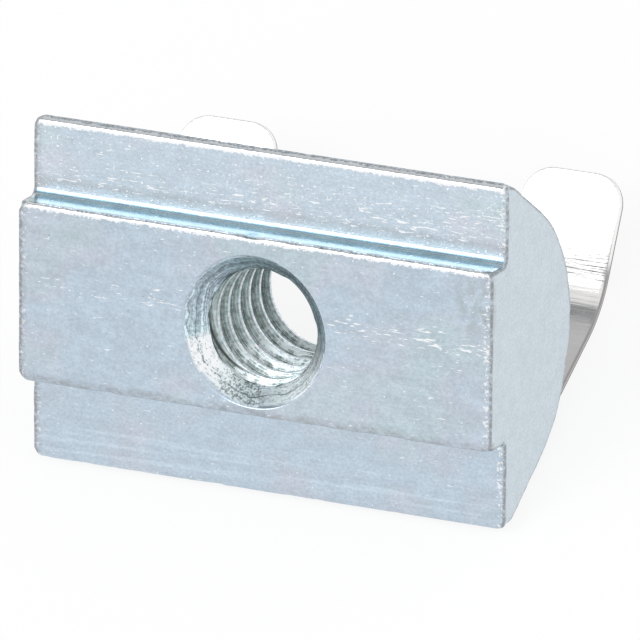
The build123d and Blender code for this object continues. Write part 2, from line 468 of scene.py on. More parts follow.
def add_hole(shell, nut, thread):
    """The square patches round both mouths, their rims, the countersinks and the thread. Round the hole, column k
    stands at 45 degrees + 360 k / K, and is joined to point k of each patch's rim."""
    columns = 4 * PATCH_CELLS
    turn = 0.125 + np.arange(columns) / columns
    ring = np.stack([np.cos(2 * math.pi * turn), np.sin(2 * math.pi * turn)], axis=1)
    face = -nut.rail_height
    shares = np.linspace(0, 1, PATCH_ROWS)[:, None, None]

    def at(radius, t):
        """The ring of points at that radius and depth."""
        radius, t = np.broadcast_to(radius, columns), np.broadcast_to(t, columns)
        return np.stack([ring[:, 0] * radius, ring[:, 1] * radius, t], axis=1)

    # front mouth: the rim touches the face and the cone, which meet at 45 degrees
    flat_low, flat_high = nut.rail_low + nut.rail_edge, nut.rail_high - nut.rail_edge
    reach = thread.rim * math.tan(math.radians(22.5))
    leg = reach * math.sqrt(0.5)
    front_outer = at(thread.mouth + reach, face)
    front_inner = at(thread.mouth - leg, face + leg)
    x, w = square_loop(lambda s: (flat_low + flat_high) / 2 + s * (flat_high - flat_low) / 2)
    loop = np.stack([x, w, np.full(columns, face)], axis=1)
    shell.grid(loop + (front_outer - loop) * shares, wrap=True)
    shell.grid(mouth_rim(front_outer, at(thread.mouth, face), front_inner), wrap=True)
    # rear mouth: the cone r = rear mouth + t - crown meets the round back where both have the same t
    cone = nut.crown - thread.rear_mouth
    radius = np.full(columns, thread.rear_mouth)
    for _ in range(SETTLED):
        radius = crown_surface(nut, radius * ring[:, 1]) - cone
    back_outer = at(radius + reach, crown_surface(nut, (radius + reach) * ring[:, 1]))
    back_inner = at(radius - leg, radius - leg + cone)
    x, w = square_loop(lambda s: nut.back_radius * np.sin(s * PATCH_HALF / nut.back_radius))
    loop = np.stack([x, w], axis=1)
    flat = loop + (back_outer[:, :2] - loop) * shares
    shell.grid(np.concatenate([flat, crown_surface(nut, flat[..., 1])[..., None]], axis=2), wrap=True)
    shell.grid(mouth_rim(back_outer, at(radius, radius + cone), back_inner), wrap=True)
    # wall: rows follow the helix, held between the two rims; the last column repeats the first one, a pitch lower
    groove = (thread.root - thread.core) * math.tan(math.radians(30))
    edge, foot = thread.crest / 2, thread.crest / 2 + groove
    phases = np.array([-foot, *(-edge - groove * f for f in (0.75, 0.5, 0.25)), -edge, 0.0, edge,
                       *(edge + groove * f for f in (0.25, 0.5, 0.75)), foot, thread.pitch / 2])
    first = math.floor((face - thread.phase) / thread.pitch) - 1
    last = math.ceil((nut.crown - thread.phase) / thread.pitch) + 3
    start = (thread.phase + thread.pitch * np.arange(first, last)[:, None] + phases).ravel()
    turns = np.append(turn, turn[0] + 1)
    front_t = np.append(front_inner[:, 2], front_inner[0, 2])
    back_t = np.append(back_inner[:, 2], back_inner[0, 2])
    t = np.clip(start[:, None] - thread.pitch * turns, front_t, back_t)
    wall = np.maximum(thread_radius(thread, t, turns), thread.mouth - (t - face))
    wall = np.maximum(wall, t - cone)
    # where a groove would cut the rear rim, it runs out just before it
    wall = np.minimum(wall, back_t - cone + RUN_OUT * (back_t - t))
    angle = 2 * math.pi * turns
    shell.grid(np.stack([wall * np.cos(angle), wall * np.sin(angle), t], axis=2))


def add_ends(shell, nut, points, normals, x_end):
    """Both ends. The outline is drawn in by a(1 - cos f) along its normals while it goes out by b(1 - sin f), f from
    0 to 90 degrees, and then shrinks to the section's heart. b varies a little round the outline."""
    half = nut.length / 2
    turn = np.radians(np.linspace(0, 90, END_STEPS))[:, None]
    shrink = np.array(END_ROWS)[:, None, None]
    for side in (-1, 1):
        around = np.column_stack([points, np.full(len(points), side * ENDS_APART)])
        depth = nut.end_depth * (0.78 + 0.2 * value_noise(around, 1.6, 11))
        drawn = points - nut.end_setback * (1 - np.cos(turn))[..., None] * normals
        x = side * (half - depth * (1 - np.sin(turn)))
        rim = np.concatenate([x[..., None], drawn], axis=2)
        tube_end = np.concatenate([np.full((1, len(points), 1), side * x_end), points[None]], axis=2)
        shell.grid(np.concatenate([tube_end, rim]), wrap=True)
        heart = np.concatenate([[side * half], SECTION_HEART])
        shell.grid(heart + (rim[-1] - heart) * shrink, wrap=True)


def nut_distances(nut, points, outline, corners):
    """For each (x, w, t) point, the distance in millimetres to the nearest long convex edge, and how far it is inside
    the outline, for points near an end (FAR elsewhere)."""
    convex = corners[[0, 1, 3, 4, 6, 7]]   # the rail's, the shoulders' and the sides' edges
    across = points[:, 1:]
    long_edge = np.min(np.linalg.norm(across[:, None] - convex, axis=2), axis=1)
    to_outline = np.full(len(points), FAR)
    on_end = np.flatnonzero(nut.length / 2 - abs(points[:, 0]) < nut.end_depth)
    for part in np.array_split(on_end, DISTANCE_PARTS):
        to_outline[part] = np.linalg.norm(across[part, None] - outline[None], axis=2).min(axis=1)
    return long_edge, to_outline


def ease_into_box(points):
    """The points kept inside the solid's box, where a sharp long edge would stand out of it. Within the ease of the
    box's front or top, the rest of the way shrinks as exp(-x), x being the way from there over the ease."""
    row = to_row(points)
    for axis, side in ((1, -1), (2, 1)):
        wall = cad_box[max(side, 0)][axis]
        past = 1 + side * (row[:, axis] - wall) / (MM * BOX_EASE)
        row[:, axis] = np.where(past > 0, wall - side * MM * BOX_EASE * np.exp(-past), row[:, axis])
    return to_nut(row)


def mound(a, b):
    """exp(-(a squared) - (b squared)): 1 in the middle, falling smoothly all round."""
    return np.exp(-a ** 2 - b ** 2)


def store_places(mesh, nut, thread, local, long_edge, to_outline):
    """Stores where each vertex is, for the plating: its distances to a long edge and to the cut end, whether it is on
    the end, on the lip round it or in the hole, how deep it is in a groove, and how far from one crest to the next.
    Returns which vertices are in the hole."""
    to_end = nut.length / 2 - abs(local[:, 0])
    radius = np.hypot(local[:, 0], local[:, 1])
    back = crown_surface(nut, np.clip(local[:, 1], -thread.mouth, thread.mouth))
    hole = (radius < thread.mouth - thread.rim) & (local[:, 2] < back - SKIN)
    cones = np.maximum(thread.mouth - local[:, 2] - nut.rail_height, local[:, 2] + thread.rear_mouth - nut.crown)
    depth = np.clip((radius - thread.core) / (thread.root - thread.core), 0, 1)
    turn = np.arctan2(local[:, 1], local[:, 0]) / (2 * math.pi)
    climb = (local[:, 2] - thread.phase) / thread.pitch + turn
    climb -= np.floor(climb + 1e-4)
    lip = smooth(to_end / np.where(local[:, 0] < 0, LIP_LEFT, LIP_RIGHT), 1.0, 0.35)
    for name, values in (
        ("edge", np.minimum(long_edge, LONGEST)),
        ("brink", np.clip(to_end, 0, LONGEST)),
        ("end", smooth(to_end, 0.12, 0.02)),
        ("lip", lip * smooth(to_outline, 0.22, 0.08)),
        ("bore", hole),
        ("thread", np.where(hole & (radius > cones + 0.01), depth, 0)),
        ("climb", np.where(climb < 0.01, 1.0, climb)),
    ):
        set_attribute(mesh, name, values)
    return hole


def wear_body(nut, thread, outline, corners, local, mesh):
    """Chips and waviness: points move towards the section's heart near the long edges where noise is high, at the
    dent and the nick, and at the tumbled corners, where a long edge meets an end. The cut ends are slightly uneven."""
    long_edge, to_outline = nut_distances(nut, local, outline, corners)
    hole = store_places(mesh, nut, thread, local, long_edge, to_outline)
    to_end = nut.length / 2 - abs(local[:, 0])
    end_edge = np.where(to_outline < FAR, np.maximum(to_end, to_outline), to_end)
    at_end = smooth(to_end, nut.end_depth, 0.0)
    grain = value_noise(local, 0.75, 21) + 0.6 * value_noise(local, 0.33, 22)
    chip = nut.chip_depth * np.clip(grain - 0.15, 0, 1) * smooth(long_edge, 0.45, 0.12)
    chip += END_CHIPS * np.clip(value_noise(local, 0.9, 23), 0, 1) * at_end * smooth(end_edge, 0.9, 0.2)
    dent = mound((local[:, 0] - DENT_X) / 0.4, (local[:, 1] - nut.rail_high) / 0.25)
    chip += DENT_DEPTH * dent * (local[:, 2] < -1)
    nick = mound((local[:, 0] - nut.length / 2) / 0.35, (local[:, 1] - NICK_W) / 0.55)
    chip += NICK_DEPTH * nick * (local[:, 2] > 4)
    reach = nut.tumble * 2.2
    tumbled = nut.tumble * 0.55 * (smooth(long_edge, reach, 0.0) * smooth(to_end, reach, 0.0))
    chip += tumbled
    heart = SECTION_HEART - local[:, 1:]
    heart /= np.linalg.norm(heart, axis=1)[:, None]
    worn = local.copy()
    worn[:, 0] -= np.sign(local[:, 0]) * tumbled
    worn[:, 1:] += heart * np.where(hole, 0, chip)[:, None]
    uneven = 1 + 0.6 * value_noise(local[:, 1:], 2.6, 31) + 0.9 * value_noise(local[:, 1:], 0.55, 32)
    worn[:, 0] -= np.sign(local[:, 0]) * END_WAVES * np.clip(uneven, 0, 3) * at_end
    return ease_into_box(worn)


class NUT_OT_body(bpy.types.Operator):
    """Build the nut's body: drawn bar with rail, shoulders and round back, threaded hole, and tumbled ends"""

    bl_idname = "tslot.body"
    bl_label = "Body"

    def execute(self, context):
        nut, thread = context.scene.nut_sizes, context.scene.thread_sizes
        points, normals, marks, corners = section_outline(nut)
        x_end = nut.length / 2 - nut.end_depth
        outer_cells = math.ceil((x_end - PATCH_REACH) / CELL)
        outer = np.linspace(-x_end, -PATCH_REACH, outer_cells + 1)
        x = np.concatenate([outer, np.linspace(-PATCH_REACH, PATCH_REACH, PATCH_CELLS + 1)[1:-1], -outer[::-1]])
        closed = np.append(np.arange(len(points)), 0)
        tube = np.empty((len(x), len(closed), 3))
        tube[..., 0] = x[:, None]
        tube[..., 1:] = points[closed]
        keep = np.ones((len(x) - 1, len(points)), bool)
        for mark in marks.values():
            keep[outer_cells:outer_cells + PATCH_CELLS, mark:mark + PATCH_CELLS] = False
        shell = Shell()
        shell.grid(tube, keep)
        add_hole(shell, nut, thread)
        add_ends(shell, nut, points, normals, x_end)
        body = shell.piece("nut_bar", functools.partial(wear_body, nut, thread, points, corners))
        body.data.materials.append(zinc_plating(context.scene.finishes, nut))
        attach(body, BODY)
        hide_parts("nut_body")
        return {"FINISHED"}


# ---------------------------------------------------------------- the leaf spring

# points of the spring's mesh
ACROSS, ACROSS_GAP = 25, 38             # across a tongue, and across the strip between the tongues
ALONG_STRIP, ALONG_TONGUE = 13, 64      # along the straight sides of the strip and the tongues
ON_CORNER, ON_CROTCH, ON_TIP = 8, 9, 13  # on the strip's corners, between the strip and the tongues, and on the tips
ON_EDGE, ON_CUT = 4, 5                  # on the rounding of a cut edge, and on its flat part
# across the cut edge: 1 where it is painted dark as shade, -1 where it is sheared bright
EDGE_MARKS = (0, 0.5, 1, 1, 1, 0, -1, -1, -1, -1, 0)


def ray(start, angle, distance):
    """The point of the section at a distance from start, at an angle in radians to the w axis."""
    return np.stack([start[0] + distance * np.cos(angle), start[1] + distance * np.sin(angle)], axis=-1)


def spring_path(nut, spring):
    """A function from s, the run along the sheet's outer side from its toe, and h, the depth into the sheet, to
    (w, t): straight along the flank, straight after the kick, round the knee, and straight to the tip."""
    flank, slope = flank_slope(nut), math.radians(spring.slope)
    shank = flank + math.radians(spring.kick)
    toe = ray(ray((-nut.width / 2, nut.side), flank, spring.toe_inset), flank + math.pi / 2, spring.sheet)
    kick = ray(toe, flank, spring.seat)
    knee_start = ray(kick, shank, spring.shank)
    centre = ray(knee_start, shank - math.pi / 2, spring.knee)
    knee_end = ray(centre, slope + math.pi / 2, spring.knee)
    turns = spring.seat, spring.seat + spring.shank
    turns += (turns[1] + spring.knee * (shank - slope),)
    total = turns[2] + spring.tip

    def path(s, h):
        """The (w, t) place at run s and depth h."""
        angle = np.select([s <= turns[0], s <= turns[1], s <= turns[2]],
                          [np.full_like(s, flank), np.full_like(s, shank), shank - (s - turns[1]) / spring.knee],
                          slope)
        start = np.select([(s <= turns[0])[..., None], (s <= turns[1])[..., None], (s <= turns[2])[..., None]],
                          [ray(toe, flank, s), ray(kick, shank, s - turns[0]),
                           ray(centre, angle + math.pi / 2, spring.knee)], ray(knee_end, slope, s - turns[2]))
        return start + h[..., None] * np.stack([np.sin(angle), -np.cos(angle)], axis=-1)
    return path, total


def spring_blank(spring, total, inset):
    """The flat blank of the spring, drawn in by inset: tables of (x, s) points for the strip, the left tongue and the
    right one. Round corners are arcs, and the rows of a tongue end on them."""
    middle = (spring.low + spring.high) / 2
    outside = (spring.high - spring.low) / 2
    gap_edge = outside - spring.tongue
    gap = gap_edge - spring.crotch
    quarter = np.radians(np.linspace(90, 0, ON_CORNER))
    corner = spring.corner - inset
    low_s = spring.corner - corner * np.sin(quarter)
    low_x = outside - spring.corner + corner * np.cos(quarter)
    straight = np.linspace(spring.corner, spring.strip - inset, ALONG_STRIP)[1:]
    strip_s = np.concatenate([low_s, straight])
    strip_x = np.concatenate([low_x, np.full(len(straight), outside - inset)])
    rise = np.radians(np.linspace(0, 90, ON_CROTCH))[1:]
    crotch = spring.crotch + inset
    tip = spring.tip_radius - inset
    run = np.linspace(spring.strip + spring.crotch, total - spring.tip_radius, ALONG_TONGUE)[1:]
    end = np.radians(np.linspace(0, 90, ON_TIP))[1:]
    tongue_s = np.concatenate([spring.strip + spring.crotch - crotch * np.cos(rise), run,
                               total - spring.tip_radius + tip * np.sin(end)])
    inner = np.concatenate([gap + crotch * np.sin(rise), np.full(len(run), gap_edge + inset),
                            gap_edge + spring.tip_radius - tip * np.cos(end)])
    outer = np.concatenate([np.full(len(rise) + len(run), outside - inset),
                            outside - spring.tip_radius + tip * np.cos(end)])
    across = np.linspace(0, 1, ACROSS)
    strip_right = gap + (strip_x[:, None] - gap) * across
    between = np.tile(np.linspace(-gap, gap, ACROSS_GAP)[1:-1], (len(strip_s), 1))
    strip = np.concatenate([-strip_right[:, ::-1], between, strip_right], axis=1)
    right = inner[:, None] + (outer - inner)[:, None] * across
    left = -right[:, ::-1]
    tables = []
    for x, s in ((strip, strip_s), (left, tongue_s), (right, tongue_s)):
        tables.append(np.stack([x + middle, np.repeat(s[:, None], x.shape[1], axis=1)], axis=-1))
    return tables


def blank_rim(strip, left, right):
    """The points of the blank's edge in order: along the strip, up the right tongue, over its tip, down to the gap,
    along it, and round the left tongue."""
    columns = left.shape[1]
    return np.concatenate([
        strip[0], strip[1:, -1], right[:, -1], right[-1, -2::-1], right[-2::-1, 0],
        strip[-1, -columns:columns - 1:-1], strip[-1, columns - 1:columns], left[:, -1], left[-1, -2::-1],
        left[-2::-1, 0], strip[-1:0:-1, 0]])


class NUT_OT_spring(bpy.types.Operator):
    """Build the leaf spring: a strip with two tongues, folded from one sheet with rounded cut edges"""

    bl_idname = "tslot.spring"
    bl_label = "Leaf spring"

    def execute(self, context):
        nut, spring = context.scene.nut_sizes, context.scene.spring_sizes
        path, total = spring_path(nut, spring)
        middle = (spring.low + spring.high) / 2

        def carried(flat, depth):
            """Folds flat (x, s) points along the path; near a weld the outer side sinks as cos squared."""
            x, s = flat[..., 0], flat[..., 1]
            off = np.hypot(abs(x - middle) - spring.weld_spacing / 2, s - spring.seat / 2)
            mark = np.where(off < spring.weld, np.cos(off / spring.weld * math.pi / 2) ** 2, 0) * spring.weld_depth
            h = depth + mark * (depth < spring.sheet / 2)
            return np.concatenate([x[..., None], path(s, h)], axis=-1)

        shell = Shell()
        for depth in (0.0, spring.sheet):
            strip, left, right = spring_blank(spring, total, spring.edge)
            columns = left.shape[1]
            shell.grid(carried(strip, depth))
            shell.grid(carried(np.concatenate([strip[-1:, :columns], left]), depth))
            shell.grid(carried(np.concatenate([strip[-1:, -columns:], right]), depth))
        steps = np.radians(np.linspace(0, 90, ON_EDGE))
        inset = spring.edge * (1 - np.sin(steps))
        depth = spring.edge * (1 - np.cos(steps))
        flat = np.linspace(spring.edge, spring.sheet - spring.edge, ON_CUT)[1:-1]
        rims = [carried(blank_rim(*spring_blank(spring, total, i)), d) for i, d in zip(
            (*inset, 0, 0, 0, *inset[::-1]), (*depth, *flat, *(spring.sheet - depth[::-1])))]
        shell.grid(np.stack(rims), wrap=True, mark=EDGE_MARKS)
        leaf = shell.piece("spring_leaf", sharp=50.0)
        slope = math.radians(spring.slope)
        knee = path(np.array([total - spring.tip]), np.zeros(1))[0]
        leaf.data.materials.append(bright_sheet(context.scene.finishes, spring, knee @ (
            math.cos(slope), math.sin(slope))))
        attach(leaf, BODY)
        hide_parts("leaf_spring")
        return {"FINISHED"}


# ---------------------------------------------------------------- materials

RELIEF = 0.03         # height of the finishes' relief, mm
PER_METRE = 1 / MM    # millimetres in a metre


class Nodes:
    """A node tree being filled. Inputs are given by name or number, as a value or as another node's output."""

    def __init__(self, tree):
        self.tree = tree

    def add(self, kind, inputs=None, **settings):
        """A new node with those settings and inputs."""
        node = self.tree.nodes.new(kind)
        for name, value in settings.items():
            setattr(node, name, value)
        for key, value in (inputs or {}).items():
            if isinstance(value, bpy.types.NodeSocket):
                self.tree.links.new(value, node.inputs[key])
            else:
                node.inputs[key].default_value = value
        return node

    def group(self, tree, inputs):
        """The outputs of a node group placed with those inputs."""
        return self.add("ShaderNodeGroup", inputs, node_tree=tree).outputs

    def attribute(self, name):
        """The number that the mesh holds under that name for each vertex."""
        return self.add("ShaderNodeAttribute", attribute_name=name).outputs["Fac"]

    def maths(self, operation, a, b=0.0, clamp=False):
        """A sum of one or two values, held between 0 and 1 where clamp is set."""
        return self.add("ShaderNodeMath", {0: a, 1: b}, operation=operation, use_clamp=clamp).outputs[0]

    def times(self, *values):
        """The product of the values."""
        return functools.reduce(lambda a, b: self.maths("MULTIPLY", a, b), values)

    def plus(self, a, b):
        """a + b."""
        return self.maths("ADD", a, b)

    def less(self, a, b, clamp=False):
        """a - b."""
        return self.maths("SUBTRACT", a, b, clamp)

    def most(self, a, b):
        """The larger of a and b."""
        return self.maths("MAXIMUM", a, b)

    def crisp(self, value, gain):
        """gain times value, held between 0 and 1."""
        return self.maths("MULTIPLY", value, gain, clamp=True)

    def dot(self, vector, direction):
        """How far vector goes in a direction."""
        return self.add("ShaderNodeVectorMath", {0: vector, 1: direction}, operation="DOT_PRODUCT").outputs["Value"]

    def fade(self, value, low, high, to=(0.0, 1.0)):
        """Smooth change from the first of to, where value is low, to the second, where it is high. low may be the
        larger one."""
        if low > high:
            low, high, to = high, low, to[::-1]
        return self.add("ShaderNodeMapRange", {
            "Value": value, "From Min": low, "From Max": high, "To Min": to[0], "To Max": to[1],
        }, interpolation_type="SMOOTHSTEP").outputs["Result"]

    def window(self, value, start, full, fall, end):
        """1 where value is between full and fall, and smoothly down to 0 at start and at end."""
        return self.times(self.fade(value, start, full), self.fade(value, end, fall))

    def mix(self, factor, a, b, blend="MIX"):
        """Colour a where factor is 0, and b, or their blend, where it is 1."""
        a, b = (tint if isinstance(tint, bpy.types.NodeSocket) else (*tint[:3], 1.0) for tint in (a, b))
        return self.add("ShaderNodeMix", {0: factor, 6: a, 7: b}, data_type="RGBA", blend_type=blend,
                        clamp_factor=True).outputs[2]

    def shaded(self, tint, shade):
        """A colour times a value."""
        grey = self.add("ShaderNodeCombineXYZ", {0: shade, 1: shade, 2: shade}).outputs[0]
        return self.mix(1.0, tint, grey, "MULTIPLY")

    def noise(self, vector, scale, detail=2.0, stretch=None, rough=0.5):
        """Noise from 0 to 1, with that many cells to the millimetre times the stretch of each axis."""
        if stretch:
            vector = self.add("ShaderNodeVectorMath", {0: vector, 1: stretch}, operation="MULTIPLY").outputs[0]
        return self.add("ShaderNodeTexNoise", {
            "Vector": vector, "Scale": scale, "Detail": detail, "Roughness": rough}).outputs["Fac"]

    def noise_along(self, value, scale, detail, rough):
        """Noise from 0 to 1 that changes with one value only."""
        return self.add("ShaderNodeTexNoise", {
            "W": value, "Scale": scale, "Detail": detail, "Roughness": rough}, noise_dimensions="1D").outputs["Fac"]


def new_group(name, inputs, outputs):
    """A shader node group with those sockets, as (tree, its filler, its inputs' outputs, its output node)."""
    tree = bpy.data.node_groups.new(name, "ShaderNodeTree")
    for label, kind, default in inputs:
        socket = tree.interface.new_socket(label, in_out="INPUT", socket_type=kind)
        if default is not None:
            socket.default_value = default
    for label, kind in outputs:
        tree.interface.new_socket(label, in_out="OUTPUT", socket_type=kind)
    nodes = Nodes(tree)
    return tree, nodes, nodes.add("NodeGroupInput").outputs, nodes.add("NodeGroupOutput")


def rolled_grain():
    """Fine lines along x, as left by drawing and rolling: noise stretched along x, from coarse and fine cells.
    Value is about 0 in the middle and goes up and down by the amount; Height is for bump."""
    if "rolled_grain" in bpy.data.node_groups:
        return bpy.data.node_groups["rolled_grain"]
    tree, nodes, inputs, out = new_group("rolled_grain", [
        ("Vector", "NodeSocketVector", None), ("Fineness", "NodeSocketFloat", 8.0),
        ("Amount", "NodeSocketFloat", 0.1)], [("Value", "NodeSocketFloat"), ("Height", "NodeSocketFloat")])
    coarse = nodes.noise(inputs["Vector"], inputs["Fineness"], 3.0, (0.05, 1, 1))
    fine = nodes.noise(inputs["Vector"], inputs["Fineness"], 2.0, (0.12, 3.1, 3.1))
    both = nodes.plus(nodes.times(coarse, 0.6), nodes.times(fine, 0.4))
    swing = nodes.times(nodes.less(both, 0.5), 4.0)
    tree.links.new(nodes.times(swing, inputs["Amount"]), out.inputs["Value"])
    tree.links.new(both, out.inputs["Height"])
    return tree


def specks():
    """Scattered specks: one near the middle of some cells of a lattice. Mask is 1 inside a speck. Share is how many
    cells have one, and Size its radius as a share of the cell."""
    if "specks" in bpy.data.node_groups:
        return bpy.data.node_groups["specks"]
    tree, nodes, inputs, out = new_group("specks", [
        ("Vector", "NodeSocketVector", None), ("Per mm", "NodeSocketFloat", 3.0),
        ("Share", "NodeSocketFloat", 0.2), ("Size", "NodeSocketFloat", 0.2)], [("Mask", "NodeSocketFloat")])
    cell = nodes.add("ShaderNodeTexVoronoi", {"Vector": inputs["Vector"], "Scale": inputs["Per mm"]})
    pick = nodes.add("ShaderNodeSeparateColor", {"Color": cell.outputs["Color"]})
    chosen = nodes.maths("LESS_THAN", pick.outputs[0], inputs["Share"])
    near = nodes.add("ShaderNodeMapRange", {"Value": cell.outputs["Distance"], "From Min": inputs["Size"],
                                            "From Max": 0.0, "To Min": 0.0, "To Max": 1.0})
    sharp = nodes.crisp(near.outputs["Result"], 2.0)
    tree.links.new(nodes.times(sharp, chosen), out.inputs["Mask"])
    return tree


def new_material(name):
    """An empty material, the filler of its nodes, and its output node."""
    material = bpy.data.materials.new(name)
    material.use_nodes = True
    material.node_tree.nodes.clear()
    nodes = Nodes(material.node_tree)
    return material, nodes, nodes.add("ShaderNodeOutputMaterial")


def nut_coordinates(nodes):
    """The nut's own axes in millimetres: x along it, y up its face, z out of its face."""
    turned = NUT_AXES @ ORIGIN * PER_METRE
    return nodes.add("ShaderNodeMapping", {
        "Vector": nodes.add("ShaderNodeTexCoord").outputs["Object"],
        "Location": (-turned[0], -turned[1], turned[2]), "Rotation": (-TILT, 0, 0), "Scale": (PER_METRE,) * 3,
    }).outputs["Vector"]


def bare_metal(nodes, output, base, rough, height, strength):
    """Joins a metal's colour, roughness and relief, with the relief's strength, to the material's output."""
    bump = nodes.add("ShaderNodeBump", {"Strength": strength, "Distance": RELIEF * MM, "Height": height})
    shader = nodes.add("ShaderNodeBsdfPrincipled", {
        "Base Color": base, "Metallic": 1.0, "Roughness": rough, "Normal": bump.outputs["Normal"]})
    nodes.tree.links.new(shader.outputs[0], output.inputs["Surface"])


def turned_hole(nodes, finish, vector, x, w, f):
    """The hole: turned rings on the countersinks, lighter and darker round the front one by painted reflections, set
    by which way the cone faces, and a thread in painted shade, with painted highlights on its crests, streaky grooves
    and painted light on its lower flanks. Returns its colour and its relief."""
    times, plus, fade, mix, noise = nodes.times, nodes.plus, nodes.fade, nodes.mix, nodes.noise
    flat = nodes.add("ShaderNodeCombineXYZ", {0: x, 1: w}).outputs[0]
    reach = nodes.add("ShaderNodeVectorMath", {0: flat}, operation="LENGTH").outputs["Value"]
    heading = nodes.add("ShaderNodeVectorMath", {0: flat}, operation="NORMALIZE").outputs[0]

    def facing(degrees, narrow, wide):
        """1 round the hole in that direction, fading out between two cosines."""
        turn = math.radians(degrees)
        return fade(nodes.dot(heading, (math.cos(turn), math.sin(turn), 0)), wide, narrow)

    rings = nodes.noise_along(plus(reach, times(noise(vector, 0.9), 0.5)), 7.0, 4.0, 0.75)
    chatter = noise(vector, 7.0, 3.0, rough=0.75)
    # painted reflections: deeper blue-grey to the upper left and lighter cyan to the lower right, by the way the cone
    # faces
    turned = mix(facing(150, 0.97, 0.75), finish.countersink, finish.countersink_dark_reflection)
    turned = mix(facing(318, 0.97, 0.6), turned, finish.countersink_light_reflection)
    turned = nodes.shaded(turned, times(fade(rings, 0.38, 0.62, (0.5, 1.4)), fade(chatter, 0.38, 0.62, (0.7, 1.25))))
    # a painted highlight on the lower left, broken by the chatter and the rings
    lower_left_highlight = times(facing(222, 0.93, 0.84), fade(plus(times(chatter, 0.6), times(rings, 0.4)), 0.39, 0.5))
    turned = mix(lower_left_highlight, turned, finish.zinc_highlight_and_wear)
    # light and dark painted reflections towards the bottom, broken by the chatter and the rings
    light_chatter_reflection = times(facing(266, 0.94, 0.7), fade(plus(times(chatter, 0.5), times(rings, 0.5)), 0.42, 0.5))
    turned = mix(times(light_chatter_reflection, 0.9), turned, finish.countersink_light_reflection)
    dark_chatter_reflection = times(facing(256, 0.975, 0.88), fade(noise(vector, 9.5, rough=0.7), 0.5, 0.43))
    dark_arc_reflection = times(facing(282, 0.9, 0.55), fade(rings, 0.44, 0.39))
    turned = mix(nodes.most(times(dark_chatter_reflection, 0.85), times(dark_arc_reflection, 0.5)), turned, finish.thread_shade)

    # the thread, in painted shade: climb goes from 0 to 1 from one crest to the next, and the flanks are painted
    # darker
    #     # just after a crest, lighter before the next one, and lighter towards the bottom
    climb = nodes.attribute("climb")
    streaks = nodes.noise_along(plus(times(climb, 9.0), times(reach, 0.7)), 1.0, 3.0, 0.6)
    thread_shading = times(fade(noise(vector, 5.0, 4.0, rough=0.7), 0.36, 0.64, (0.72, 1.3)),
                    fade(streaks, 0.35, 0.65, (0.55, 1.45)))
    thread_shading = times(thread_shading, times(fade(climb, 0.25, 0.8, (0.5, 1.25)), fade(w, 1.8, -0.5, (0.85, 1.1))))
    flank = nodes.shaded(finish.thread_shade, thread_shading)
    # painted light on the lower flanks, broken by noise and streaks
    lower_flank_light = plus(times(noise(vector, 2.4, 4.0, rough=0.7), 0.5), times(streaks, 0.5))
    flank = mix(times(fade(w, -1.2, -2.3), fade(lower_flank_light, 0.45, 0.54)), flank, finish.countersink_light_reflection)
    # painted highlights on the crests
    crest = mix(fade(chatter, 0.4, 0.6), finish.countersink, finish.zinc_highlight_and_wear)
    wall = mix(fade(nodes.attribute("thread"), 0.01, 0.1), mix(fade(f, 0.45, 0.6), crest, turned), flank)

    # painted shade and highlight: thin black and white lines where the first turns run out on the left
    run_out = times(nodes.window(f, -0.35, -0.1, 0.6, 0.68), facing(205, 0.92, 0.5))
    run_out_shade_and_highlight = nodes.maths("SINE", plus(times(f, 20.0), 0.6))
    wall = mix(times(run_out, fade(run_out_shade_and_highlight, -0.65, -1.0)), wall, (0.09, 0.1, 0.1))
    wall = mix(times(run_out, fade(run_out_shade_and_highlight, 0.3, 0.8)), wall, finish.countersink_light_reflection)
    return wall, plus(rings, chatter)


